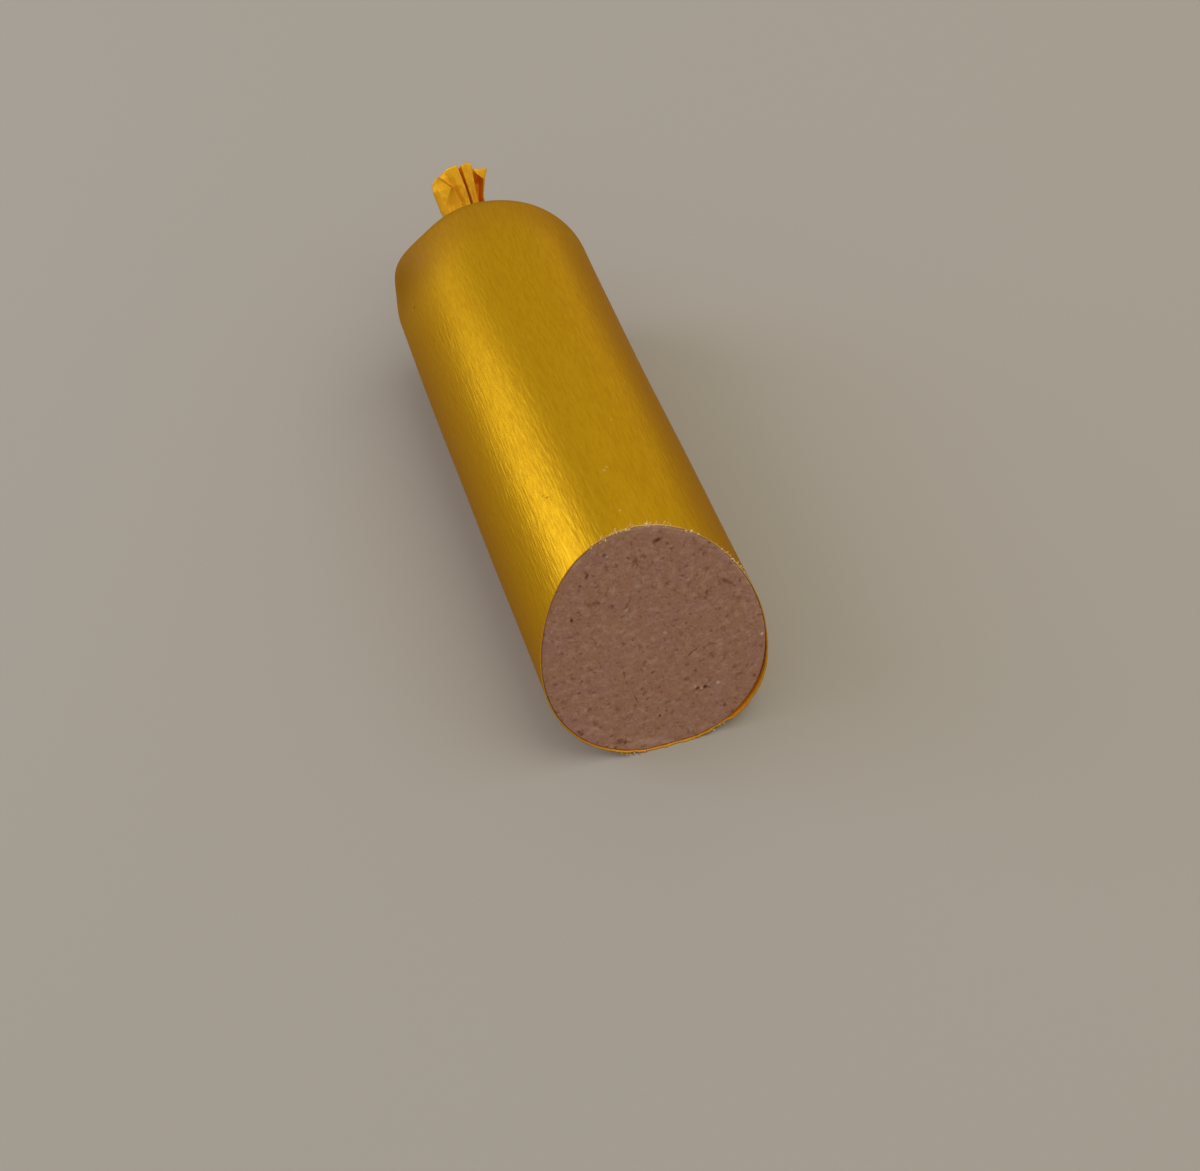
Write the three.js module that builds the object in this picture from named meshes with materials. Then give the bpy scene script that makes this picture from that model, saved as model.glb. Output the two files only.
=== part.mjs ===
// Half of a liverwurst sausage in its gold casing, lying on its side and cut across on a slant.
// Units are millimetres and +Z is up. The sausage's axis runs along +Y, from the cut to the tail.
// The origin is on the surface it lies on, under the middle of the whole piece.
import * as THREE from 'three';
import { mergeVertices } from 'three/addons/utils/BufferGeometryUtils.js';

const degrees = THREE.MathUtils.degToRad;
const { clamp, lerp, smoothstep } = THREE.MathUtils;

// Section of the filled casing
const RADIUS = 27.5;
const SWELL_PER_MM = 0.000147;
const OUT_OF_ROUND = [ // waves round the section, cosine share, sine share
  [2, 0.0049, 0.001],
  [3, 0.004, -0.0331],
  [4, -0.0064, 0.0021],
];
const REST_FLAT = 0.35; // how far the underside is pressed flat
const CASING_WALL = 0.45;
const GAP = 0.3; // between the casing and the meat

// Slanted cut: the foot of the face stands out in front of its top
const CUT_LEAN = degrees(25.5);
const CUT_SKEW = degrees(3.1);
const PEEL_LIFT = 1.2; // the rim has come off the meat at the lower right
const PEEL_ANGLE = degrees(-32);
const PEEL_SPREAD = degrees(26);
const PEEL_DEPTH = 7;

// Far end: a blunt dome with one corner of filling pressed out at the upper left
const BARREL_END = 108;
const SHOULDER = 131.1;
const SHOULDER_TURN = 1.4; // the shoulder starts later on the left
const DOME_END = 144.2;
const DOME_POWER = 1.97;
const DOME_ROUNDING = 1.33;
const LEAN_START = 70; // from here the centre line drifts towards the neck
const NECK_DRIFT = 1;
const NECK_RISE = 0.3;
const BULGE = 2.6;
const BULGE_ANGLE = degrees(151);
const BULGE_SPREAD = degrees(17);
const BULGE_ALONG = 132.9;
const BULGE_LENGTH = 5;

// Gathered neck
const PLEATS = 12;
const PLEAT_DEPTH = 0.9;
const FUNNEL_REACH = 0.88; // share of the dome at which the casing turns out to the neck
const NECK_RADIUS = 2.3;
const NECK_PLEAT = 0.35;
const NECK_START = 146.2;
const NECK_END = 150;

// Clip round the neck
const CLIP_ALONG = 148.1;
const CLIP_HALF_WIDTH = 4.3;
const CLIP_HALF_HEIGHT = 3.9;
const CLIP_SQUARENESS = 2.6;
const CLIP_WIRE = { axial: 1.2, radial: 0.75 }; // half sizes of the flattened wire
const CLIP_OPENING = degrees(9);

// Tail: the casing past the clip, fanned out in pleats and bent up
const TAIL_ROOT = new THREE.Vector3(1, 151, 28.4);
const TAIL_LIFT = degrees(45);
const TAIL_BEND = 5; // length over which the tail turns up
const TAIL_WAIST = 10.8;
const TAIL_LENGTH = 21;
const TAIL_ARC = 0.04;
const TAIL_CENTRE = 0.7;
const TAIL_HALF_WALL = 0.45;
const TAIL_FOLDS = [ // place across the neck, the waist and the tip, and height of the fold
  [-2.2, -7.6, -8.1, -0.6],
  [-1.7, -5.4, -6.6, 0.6],
  [-1.0, -2.1, -5.0, 1.0],
  [-0.6, -1.2, -3.3, -0.8],
  [0.0, 0.3, -0.9, 0.9],
  [0.4, 1.6, 0.8, -1.8],
  [0.9, 2.2, 2.1, 1.0],
  [1.2, 3.5, 4.5, 0.6],
  [1.6, 4.2, 5.7, -1.9],
  [2.2, 5.3, 8.4, 0.4],
];

// Fineness of the surfaces
const STEPS_PER_FOLD = 4;
const SIDES = 2 * STEPS_PER_FOLD * (TAIL_FOLDS.length - 1);
const BARREL_STEPS = [0, 0.02, 0.05, 0.12, 0.4, 0.7, 1];
const MEAT_STEPS = [0, 0.3, 0.65, 1];
const SHOULDER_STEPS = [0.42, 0.75, 1];
const DOME_STEPS = [0.2, 0.4, 0.58, 0.74, FUNNEL_REACH];
const INNER_DOME_STEPS = [0.2, 0.42, 0.64, 0.82, 0.94];
const FUNNEL_STEPS = [0.3, 0.6, 0.85, 1];
const BEND_STEPS = [0.3, 0.6, 1];
const FLARE_STEPS = [0.7, 1];
const TIP_STEPS = [0.35, 0.7, 1];

function sectionRadius(angle) {
  let share = 1;
  for (const [waves, cosine, sine] of OUT_OF_ROUND) {
    share += cosine * Math.cos(waves * angle) + sine * Math.sin(waves * angle);
  }
  return RADIUS * share;
}

const AXIS_HEIGHT = sectionRadius(degrees(-90)) - REST_FLAT;

// Shortest turn from one angle to another
function turn(angle, from) {
  return Math.atan2(Math.sin(angle - from), Math.cos(angle - from));
}

function bump(distance, spread) {
  return Math.exp(-((distance / spread) ** 2));
}

function centre(along) {
  const drift = clamp((along - LEAN_START) / (DOME_END - LEAN_START), 0, 1) ** 2;
  const height = AXIS_HEIGHT * (1 + SWELL_PER_MM * along) + NECK_RISE * drift;
  return new THREE.Vector3(NECK_DRIFT * drift, along, height);
}

function shoulderAt(angle) {
  return SHOULDER - SHOULDER_TURN * Math.cos(angle);
}

// Distance along the axis at which the cut plane meets the surface
function cutAlong(angle, inset) {
  const radius = sectionRadius(angle) - inset;
  const across = radius * Math.cos(angle);
  const up = Math.max(radius * Math.sin(angle), inset - AXIS_HEIGHT);
  return up * Math.tan(CUT_LEAN) / Math.cos(CUT_SKEW) - across * Math.tan(CUT_SKEW);
}

function pleat(angle) {
  return Math.abs(Math.cos(PLEATS / 2 * angle));
}

// A point of the casing's outside, or of a surface lying a little way inside it
function skinPoint(angle, along, inset, lift = 0) {
  const start = shoulderAt(angle);
  const reach = clamp((along - start) / (DOME_END - inset - start), 0, 1);
  const fall = (1 - reach ** DOME_POWER) ** (1 / DOME_ROUNDING);
  const filled = sectionRadius(angle) * (1 + SWELL_PER_MM * along) - inset;
  const corner = bump(turn(angle, BULGE_ANGLE), BULGE_SPREAD) * bump(along - BULGE_ALONG, BULGE_LENGTH);
  const radius = filled * fall + BULGE * corner * (1 - reach ** 4) + lift;
  const point = centre(along);
  point.x += radius * Math.cos(angle);
  point.z = Math.max(point.z + radius * Math.sin(angle), inset);
  return point;
}

function peelLift(angle, behindCut) {
  return PEEL_LIFT * bump(turn(angle, PEEL_ANGLE), PEEL_SPREAD) * Math.exp(-behindCut / PEEL_DEPTH);
}

// Rings of points, each given as a function from the angle to the point
function barrelRing(step, inset, peeled) {
  return (angle) => {
    const cut = cutAlong(angle, inset);
    const along = lerp(cut, BARREL_END, step);
    return skinPoint(angle, along, inset, peeled ? peelLift(angle, along - cut) : 0);
  };
}

function shoulderRing(step, inset) {
  return (angle) => skinPoint(angle, lerp(BARREL_END, shoulderAt(angle), step), inset);
}

function domeRing(reach, inset, depth = 0) {
  return (angle) => {
    const along = lerp(shoulderAt(angle), DOME_END - inset, reach);
    return skinPoint(angle, along, inset, depth * reach ** 2 * pleat(angle));
  };
}

function neckRing(along) {
  return (angle) => {
    const radius = NECK_RADIUS + NECK_PLEAT * pleat(angle);
    const point = centre(along);
    point.x += radius * Math.cos(angle);
    point.z += radius * Math.sin(angle);
    return point;
  };
}

function funnelRing(step) {
  const foot = domeRing(FUNNEL_REACH, 0, PLEAT_DEPTH);
  const corner = neckRing(DOME_END);
  const top = neckRing(NECK_START);
  return (angle) => new THREE.QuadraticBezierCurve3(foot(angle), corner(angle), top(angle)).getPoint(step);
}

// Place across and height of the tail's pleated sheet; share runs from the left edge to the right
function foldAt(share, column) {
  const place = share * (TAIL_FOLDS.length - 1);
  const index = Math.min(Math.floor(place), TAIL_FOLDS.length - 2);
  return lerp(TAIL_FOLDS[index][column], TAIL_FOLDS[index + 1][column], place - index);
}

const NECK_CENTRE = centre(NECK_END);
const BEND_PATH = new THREE.QuadraticBezierCurve3(
  NECK_CENTRE,
  new THREE.Vector3(NECK_CENTRE.x, NECK_END + 1.6, NECK_CENTRE.z + 0.2),
  tailPoint(0, 0, TAIL_BEND),
);

// A point of the straight part of the tail, from its place across, its height and its distance out
function tailPoint(across, height, out) {
  return new THREE.Vector3(
    TAIL_ROOT.x + across,
    TAIL_ROOT.y + out * Math.cos(TAIL_LIFT) - height * Math.sin(TAIL_LIFT),
    TAIL_ROOT.z + out * Math.sin(TAIL_LIFT) + height * Math.cos(TAIL_LIFT),
  );
}

// Where a side of a ring lies on the flattened tail: share across it and which face
function flattened(angle) {
  const fromRight = Math.abs(turn(angle, 0)) / Math.PI;
  const edge = fromRight < 0.001 || fromRight > 0.999;
  return { share: 1 - fromRight, face: edge ? 0 : Math.sign(turn(angle, 0)) };
}

function flareSection(angle, out) {
  const { share, face } = flattened(angle);
  const flare = Math.sin(Math.PI / 2 * out / TAIL_WAIST);
  return {
    across: lerp(foldAt(share, 0), foldAt(share, 1), flare),
    height: foldAt(share, 3) * lerp(0.3, 1, flare) + face * TAIL_HALF_WALL,
  };
}

// The tail turns up from the neck while its round bundle opens into a fan
function bendRing(step) {
  return (angle) => {
    const fan = flareSection(angle, step * TAIL_BEND);
    const bundle = NECK_RADIUS + NECK_PLEAT * pleat(angle);
    const opened = smoothstep(step, 0, 1);
    const across = lerp(bundle * Math.cos(angle), fan.across, opened);
    const height = lerp(bundle * Math.sin(angle), fan.height, opened);
    const point = BEND_PATH.getPoint(step);
    point.x += across;
    point.y -= height * Math.sin(TAIL_LIFT * step);
    point.z += height * Math.cos(TAIL_LIFT * step);
    return point;
  };
}

function flareRing(step) {
  return (angle) => {
    const out = lerp(TAIL_BEND, TAIL_WAIST, step);
    const { across, height } = flareSection(angle, out);
    return tailPoint(across, height, out);
  };
}

function tipRing(step, wall = TAIL_HALF_WALL) {
  return (angle) => {
    const { share, face } = flattened(angle);
    const tipAcross = foldAt(share, 2);
    const tipOut = TAIL_LENGTH - TAIL_ARC * (tipAcross - TAIL_CENTRE) ** 2;
    return tailPoint(
      lerp(foldAt(share, 1), tipAcross, step),
      foldAt(share, 3) + face * wall,
      lerp(TAIL_WAIST, tipOut, step),
    );
  };
}

// A turned blank with one ring for each outline, whose points are then moved onto the outlines
function turnedSolid(rings) {
  const profile = rings.map((ring, index) => new THREE.Vector2(1, index));
  const blank = new THREE.LatheGeometry(profile, SIDES);
  const places = blank.attributes.position;
  for (let side = 0; side <= SIDES; side += 1) {
    const angle = Math.PI / 2 - 2 * Math.PI * (side % SIDES) / SIDES;
    rings.forEach((ring, index) => {
      const point = ring(angle);
      places.setXYZ(side * rings.length + index, point.x, point.y, point.z);
    });
  }
  return welded(blank);
}

// The same surface with shared corners joined and the empty triangles at its poles left out
function welded(geometry) {
  geometry.deleteAttribute('normal');
  geometry.deleteAttribute('uv');
  const solid = mergeVertices(geometry, 1e-4);
  const corners = [];
  const index = solid.index.array;
  for (let k = 0; k < index.length; k += 3) {
    const [a, b, c] = index.subarray(k, k + 3);
    if (a !== b && b !== c && c !== a) corners.push(a, b, c);
  }
  solid.setIndex(corners);
  solid.computeVertexNormals();
  return solid;
}

function casingGeometry() {
  const inside = [
    ...BARREL_STEPS.map((step) => barrelRing(step, CASING_WALL, true)),
    ...SHOULDER_STEPS.map((step) => shoulderRing(step, CASING_WALL)),
    ...INNER_DOME_STEPS.map((reach) => domeRing(reach, CASING_WALL)),
    domeRing(1, CASING_WALL),
  ].reverse();
  const outside = [
    ...BARREL_STEPS.map((step) => barrelRing(step, 0, true)),
    ...SHOULDER_STEPS.map((step) => shoulderRing(step, 0)),
    ...DOME_STEPS.map((reach) => domeRing(reach, 0, PLEAT_DEPTH)),
    ...FUNNEL_STEPS.map(funnelRing),
    neckRing(NECK_END),
  ];
  const tail = [
    ...BEND_STEPS.map(bendRing),
    ...FLARE_STEPS.map(flareRing),
    ...TIP_STEPS.map((step) => tipRing(step)),
    tipRing(1, 0),
  ];
  return turnedSolid([...inside, ...outside, ...tail]);
}

function meatGeometry() {
  const inset = CASING_WALL + GAP;
  return turnedSolid([
    () => centre(0),
    ...MEAT_STEPS.map((step) => barrelRing(step, inset, false)),
    ...SHOULDER_STEPS.map((step) => shoulderRing(step, inset)),
    ...INNER_DOME_STEPS.map((reach) => domeRing(reach, inset)),
    domeRing(1, inset),
  ]);
}

// Flattened wire bent round the neck, its two ends meeting underneath
function clipGeometry() {
  const middle = centre(CLIP_ALONG);
  const bends = 28;
  const route = [];
  for (let k = 0; k <= bends; k += 1) {
    const angle = lerp(degrees(-90) + CLIP_OPENING, degrees(270) - CLIP_OPENING, k / bends);
    const cosine = Math.cos(angle);
    const sine = Math.sin(angle);
    const reach = (Math.abs(cosine) ** CLIP_SQUARENESS + Math.abs(sine) ** CLIP_SQUARENESS)
      ** (-1 / CLIP_SQUARENESS);
    route.push(new THREE.Vector3(
      middle.x + CLIP_HALF_WIDTH * reach * cosine,
      CLIP_ALONG,
      middle.z + CLIP_HALF_HEIGHT * reach * sine,
    ));
  }
  const wire = new THREE.Shape();
  wire.absellipse(0, 0, CLIP_WIRE.axial, CLIP_WIRE.radial, 0, 2 * Math.PI);
  return new THREE.ExtrudeGeometry(wire, {
    steps: 36,
    curveSegments: 5,
    bevelEnabled: false,
    extrudePath: new THREE.CatmullRomCurve3(route),
  });
}

function piece(name, geometry, color, roughness, metalness) {
  const mesh = new THREE.Mesh(geometry, new THREE.MeshStandardMaterial({ color, roughness, metalness }));
  mesh.name = name;
  return mesh;
}

const sausage = new THREE.Group();
sausage.add(piece('casing', casingGeometry(), 0xb07c12, 0.38, 0.35));
sausage.add(piece('meat', meatGeometry(), 0x7f5c49, 0.75, 0));
sausage.add(piece('clip', clipGeometry(), 0xc4c6c8, 0.35, 0.9));

// Bring the middle of the piece over the origin
const extent = new THREE.Box3().setFromObject(sausage);
const middle = extent.getCenter(new THREE.Vector3());
sausage.position.set(-middle.x, -middle.y, 0);

export default sausage;
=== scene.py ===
"""Half of a liverwurst sausage in its gold casing: the looks built round the packed solids.

Every piece is made in the part's frame. Shapes are worked out in millimetres on the sausage's own axis, which
runs along +Y from the middle of the cut, and are then put in place and turned into metres.
"""
import math

import bmesh
import bpy
import numpy as np
from bpy.props import FloatProperty, FloatVectorProperty, IntProperty, PointerProperty
from mathutils import Matrix, Vector


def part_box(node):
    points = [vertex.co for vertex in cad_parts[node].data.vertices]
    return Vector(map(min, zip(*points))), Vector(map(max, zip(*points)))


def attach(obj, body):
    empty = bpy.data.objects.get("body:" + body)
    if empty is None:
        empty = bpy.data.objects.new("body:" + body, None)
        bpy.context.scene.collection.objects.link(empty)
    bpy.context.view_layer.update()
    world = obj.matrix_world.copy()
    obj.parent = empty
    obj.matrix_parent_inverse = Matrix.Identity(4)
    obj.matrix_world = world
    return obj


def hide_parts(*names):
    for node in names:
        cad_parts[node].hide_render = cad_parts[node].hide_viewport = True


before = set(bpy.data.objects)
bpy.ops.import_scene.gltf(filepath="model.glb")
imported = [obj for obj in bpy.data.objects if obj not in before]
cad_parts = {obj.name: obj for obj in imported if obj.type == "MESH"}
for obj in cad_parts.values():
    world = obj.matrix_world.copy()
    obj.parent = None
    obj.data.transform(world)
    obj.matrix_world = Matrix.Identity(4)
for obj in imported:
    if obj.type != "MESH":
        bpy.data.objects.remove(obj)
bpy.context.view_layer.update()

bl_info = {
    "name": "Liverwurst half",
    "version": (1, 0, 0),
    "blender": (4, 5, 0),
    "location": "View3D > Sidebar > Liverwurst",
    "description": "Builds half of a liverwurst in its gold casing, with its cut face, clip and pleated tail",
    "category": "Add Mesh",
}

MM = 0.001

# Section of the filled casing. Lengths outside the settings are in millimetres
SWELL_PER_MM = 0.000147
OUT_OF_ROUND = ((2, 0.0049, 0.001), (3, 0.004, -0.0331), (4, -0.0064, 0.0021))  # waves, cosine share, sine share
REST_FLAT = 0.35
UNEVENNESS = 0.05
UNEVEN_SEED, UNEVEN_WAVES = 3, (5, 7, 8, 11)
UNEVEN_FROM = 1 / 12  # share of the barrel behind the cut over which the unevenness sets in

# The rim has come off the meat at the lower right, and stands out past it there and along the foot
PEEL_ANGLE = math.radians(-38)
PEEL_SPREAD = math.radians(23)
PEEL_END = math.radians(-58)
PEEL_END_SPREAD = math.radians(3)
PEEL_DEPTH = 6.0
PEEL_STAND = 0.75
PEEL_WAVES = ((0.12, 9, 0.5), (0.06, 23, 0.0))  # height, waves round the ring and start
FOOT_ANGLE = math.radians(-100)
FOOT_SPREAD = math.radians(50)
FOOT_STAND = 0.26
RIM_STAND = 0.05
RIM_TEARS = ((0.06, 11, (17, 31, 47, 58)), (0.045, 12, (73, 97, 121)))  # height, seed, waves round the ring
TORN_ANGLE = math.radians(-80)
TORN_SPREAD = math.radians(60)
TORN_MORE = 2.6
RIM_LINE_POINTS = 60
TATTER_CLEAR = 0.55  # the roots of the tatters along the foot stay this far above the floor

# Far end
BARREL_END = 108.0
SHOULDER = 131.1
SHOULDER_TURN = 1.4
DOME_END = 144.2
DOME_POWER = 1.97
DOME_ROUNDING = 1.33
LEAN_START = 70.0
NECK_DRIFT = 1.0
NECK_RISE = 0.3
BULGES = (
    # height, angle and spread in degrees, distance along and its spread
    (2.6, 151.0, 17.0, 132.9, 5.0),
    (1.0, 108.0, 23.0, 138.5, 5.5),
)

# Gathered neck
PLEATS = 12
FINE_PLEATS = 15
PLEAT_DEPTH = 0.9
PLEAT_WANDER = ((0.35, 3, 1.1), (0.22, 5, 2.3))  # turn, waves round the ring and start
FUNNEL_REACH = 0.88
NECK_RADIUS = 2.9
NECK_PLEAT = 0.45
NECK_START = 146.2
NECK_END = 150.0
NECK_PINCH = 0.35
NECK_PINCH_LENGTH = 1.1

# Clip
CLIP_ALONG = 148.1
CLIP_HALF_WIDTH = 4.3
CLIP_HALF_HEIGHT = 3.9
CLIP_SQUARENESS = 2.6
CLIP_OPENING = math.radians(9)
CLIP_STEPS = 140

# Tail: the casing past the clip, fanned out in pleats and bent up
TAIL_ROOT = (1.0, 151.0, 28.4)
TAIL_LIFT = math.radians(45)
TAIL_BEND = 5.0
TAIL_BEND_CORNER = (0, 1.6, 0.2)
TAIL_WAIST = 10.8
TAIL_MID = 15.2
TAIL_BUNCHED = 0.3  # share of the folds' height at the neck
TAIL_HALF_WALL = 0.3
TAIL_LIP = 0.13  # thickness of each of the two layers at the open tip
CRUMPLE = 0.1
CRUMPLE_SIZE, CRUMPLE_SEED, CRUMPLE_SHIFT = 1.3, 21, 20
(ACROSS_NECK, ACROSS_WAIST, ACROSS_MIDDLE, ACROSS_TIP,
 WAIST_HEIGHT, MIDDLE_HEIGHT, TIP_HEIGHT, TIP_REACH) = range(8)
TAIL_FOLDS = (
    # place across at the neck, waist, middle and tip, height at the waist, middle and tip, and reach of the tip
    (-2.2, -7.8, -8.4, -8.0, -0.6, -0.5, -0.9, 17.5),
    (-2.0, -6.9, -7.4, -6.9, 0.3, 0.4, 0.1, 18.5),
    (-1.7, -5.8, -3.1, -6.3, 0.6, 0.8, 0.3, 18.8),
    (-1.4, -3.6, -2.8, -6.0, -0.2, 0.5, 0.25, 18.95),
    (-1.1, -1.3, -2.35, -5.6, 0.5, 0.9, 0.5, 19.1),
    (-0.8, -0.8, -1.95, -3.9, -0.1, 0.0, 0.2, 20.1),
    (-0.5, 0.0, -1.0, -2.2, 0.6, 0.8, 0.7, 20.8),
    (0.0, 1.2, 0.9, 0.1, 0.9, 1.1, 1.1, 21.1),
    (0.3, 1.6, 1.3, 0.75, -1.2, -1.3, -0.7, 20.0),
    (0.7, 1.95, 1.7, 1.35, 0.8, 0.9, 0.9, 20.7),
    (1.0, 2.8, 2.7, 3.0, 0.5, 0.55, 0.5, 21.2),
    (1.3, 3.55, 3.85, 4.4, 0.9, 1.0, 0.9, 20.3),
    (1.5, 3.75, 4.3, 4.9, -3.6, -4.4, -2.2, 19.2),
    (1.8, 4.6, 5.9, 6.9, -3.4, -4.2, -1.8, 17.9),
    (2.0, 5.25, 6.8, 7.8, 0.3, 0.4, 0.2, 17.6),
    (2.2, 5.6, 7.1, 8.1, 0.6, 0.6, 0.4, 17.4),
)
# The turned down corner at the tail's right: its corners across, out and up
CORNER_FLAP = ((4.5, 19.0, 0.95), (8.6, 18.2, 0.7), (7.0, 15.1, 0.6), (5.0, 17.5, 1.35))
CORNER_HALF_WALL = 0.13
CORNER_CROWN = 0.12
CORNER_STEPS = 10

# Small marks on the casing
CASING_MARKS = (
    # angle in degrees, distance along, size, darkness (paler below zero) and height
    # The first mark is a small dent: its darkness is painted shade in the hollow
    (157.4, 119.4, 0.75, 0.6, -0.12),
    (160.0, 119.9, 0.4, -0.3, 0.0),
    (121.1, 32.2, 0.5, 0.5, -0.05),
    (123.0, 33.4, 0.35, 0.4, -0.05),
    (90.7, 31.6, 0.5, -0.5, 0.05),
    (88.9, 32.4, 0.35, -0.5, 0.05),
    (92.0, 19.0, 0.4, -0.4, 0.05),
    (76.0, 47.0, 0.3, -0.5, 0.05),
)
MARK_RADIUS = 27.5
STREAK_HEIGHT = 0.105

# Where the casing's finish changes: angles and spreads round it, lengths along it
PALE_RIM = ((1.0, math.radians(84), math.radians(26)), (0.7, math.radians(35), math.radians(14)))  # share first
PALE_RIM_SEED, PALE_RIM_WAVES = 17, (13, 29, 41)
UNFILLED_AND_LIT_LENGTH = 3
# The rounded end is darker and duller, partly from wear and partly as painted shade; the pressed-out bulge and the
# pleats' creases are darkened as painted shade
HANDLED_AND_SHADE_FROM, HANDLED_AND_SHADE_LENGTH = BARREL_END + 4, 22
BULGE_SHADE_ANGLE, BULGE_SHADE_SPREAD = math.radians(150), math.radians(32)
BULGE_SHADE_FROM, BULGE_SHADE_LENGTH = BARREL_END - 8, 26
CREASE_SHADE_FROM, CREASE_SHADE_LENGTH = SHOULDER + 3, 10
CORNER_STRETCH = 3

# Cut face. Places are across and up the slope from its middle, in millimetres
# Pits on the cut face are small hollows: their darkness is painted shade
PITS = (
    # across, up, half length, half width, turn in degrees, depth, darkness
    (8.6, -15.0, 0.5, 0.36, 35, 0.4, 1.0),
    (10.6, -15.2, 0.52, 0.4, -25, 0.45, 1.0),
    (9.5, -15.9, 0.8, 0.22, 8, 0.2, 0.6),
    (7.7, -15.6, 0.3, 0.2, 60, 0.25, 0.5),
    (11.5, -15.8, 0.28, 0.18, -30, 0.25, 0.5),
    (-7.6, 25.8, 0.38, 0.26, 60, 0.45, 0.8),
    (-12.4, 21.6, 0.7, 0.24, 70, 0.5, 0.9),
    (-14.4, 19.6, 0.35, 0.2, 40, 0.25, 0.6),
    (-14.7, 18.6, 0.3, 0.2, 80, 0.2, 0.5),
    (-17.8, 11.4, 0.62, 0.23, 82, 0.5, 1.0),
    (-25.0, 9.9, 0.5, 0.35, 0, 0.4, 0.9),
    (8.3, -5.1, 0.75, 0.17, 38, 0.4, 0.9),
    (9.9, -4.2, 1.1, 0.12, 32, 0.18, 0.4),
    (-8.3, -6.2, 1.2, 0.12, 88, 0.2, 0.5),
    (-6.4, -13.5, 1.1, 0.13, 100, 0.25, 0.7),
    (1.6, 22.8, 0.5, 0.28, 45, 0.3, 0.6),
    (4.7, 22.7, 0.25, 0.22, 0, 0.2, 0.5),
    (17.1, 22.4, 0.5, 0.25, -40, 0.35, 0.8),
    (-1.6, -19.9, 0.36, 0.3, 30, 0.35, 0.8),
    (7.0, -18.9, 0.3, 0.24, 0, 0.25, 0.6),
    (5.1, -3.1, 0.34, 0.28, 15, 0.2, 0.5),
    (-4.6, 2.4, 0.3, 0.28, 0, 0.2, 0.5),
    (2.3, 7.7, 0.3, 0.26, 0, 0.2, 0.5),
    (5.4, 9.3, 0.3, 0.26, 50, 0.2, 0.5),
    (-4.5, 12.0, 0.4, 0.3, 30, 0.25, 0.6),
    (8.5, 3.4, 0.4, 0.24, 60, 0.25, 0.5),
    (-15.9, -24.7, 0.34, 0.22, 60, 0.3, 0.7),
    (-13.6, -25.6, 0.34, 0.24, 70, 0.3, 0.7),
    (-11.2, -24.9, 0.85, 0.16, 65, 0.35, 0.7),
    (-20.9, -19.5, 0.45, 0.25, 50, 0.3, 0.6),
    (23.0, -15.6, 0.5, 0.3, 60, 0.35, 0.7),
)
SMUDGES = (
    # across, up, half length, half width, turn in degrees, darkness
    (5.3, 26.5, 1.2, 0.5, 10, 0.8),
    (19.5, 11.9, 1.3, 0.6, -30, 0.55),
    (20.9, 10.6, 1.2, 0.35, -50, 0.45),
    (21.9, 6.4, 0.6, 0.9, 0, 0.4),
    (6.3, 5.0, 0.9, 0.45, 0, 0.5),
    (11.0, -7.6, 0.8, 0.45, 0, 0.45),
    (18.5, -11.4, 0.55, 0.8, 0, 0.5),
    (19.6, -13.9, 0.7, 0.35, 0, 0.5),
    (6.5, -11.6, 0.9, 0.5, 20, 0.45),
    (0.9, -16.6, 0.8, 0.4, 0, 0.4),
    (-11.3, -14.8, 0.6, 0.7, 0, 0.4),
    (-23.5, -9.2, 0.8, 0.6, 0, 0.4),
    (-24.5, -4.1, 0.8, 0.5, 0, 0.4),
    (-8.0, 12.6, 0.7, 0.6, 0, 0.4),
    (-19.0, 7.5, 0.9, 0.4, 0, 0.4),
    (15.4, 16.2, 0.7, 0.5, 0, 0.4),
    (-9.4, 24.3, 1.6, 0.45, 0, 0.35),
    (-6.6, -27.0, 1.1, 0.45, 0, 0.6),
)
# Pale spots on the cut face: fat flecks and smears, and the palest raised ones are glints, whose paleness is a
# painted highlight
PALE_SPOTS = (
    # across, up, half length, half width, turn in degrees, paleness, height
    (13.8, -14.7, 0.36, 0.3, 40, 1.0, 0.12),
    (9.7, -15.3, 0.26, 0.26, 0, 0.8, 0.05),
    (26.3, -4.7, 0.36, 0.3, 50, 1.0, 0.12),
    (-6.9, 25.4, 0.3, 0.24, 0, 0.85, 0.08),
    (-4.8, 10.7, 0.6, 0.28, 20, 0.6, 0.05),
    (-1.3, 16.2, 0.75, 0.6, 0, 0.35, 0.0),
    (3.3, 2.3, 0.5, 0.4, -40, 0.4, 0.0),
    (-5.3, -26.4, 4.4, 1.1, -9, 0.28, 0.05),
    (-8.0, -25.6, 1.6, 0.5, 12, 0.3, 0.05),
    (-1.8, -27.6, 1.9, 0.7, -10, 0.25, 0.04),
    (8.2, -14.3, 0.3, 0.22, 0, 0.55, 0.06),
    (9.5, -15.0, 0.22, 0.4, 0, 0.6, 0.1),
    (11.6, -14.6, 0.26, 0.2, 30, 0.45, 0.05),
    (14.9, -15.6, 0.3, 0.2, 50, 0.4, 0.05),
    (-13.9, 22.3, 0.3, 0.22, 0, 0.35, 0.04),
)

PORE_SIZE = (0.14, 0.42)
PORE_DEPTH = 0.6  # share of a pore's half width
PORE_SEED = 5
FACE_REACH, FACE_STRETCH = 27, 1.1
RELIEF_SHIFT = 60
TORN_EDGE, TORN_SIZE = 0.16, 0.42
CUT_ROUNDING = 0.45  # width of the face's rounded border
SMEAR_WIDTH = 1.6
UPPER_ANGLE, UPPER_SPREAD = math.radians(55), math.radians(60)

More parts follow.
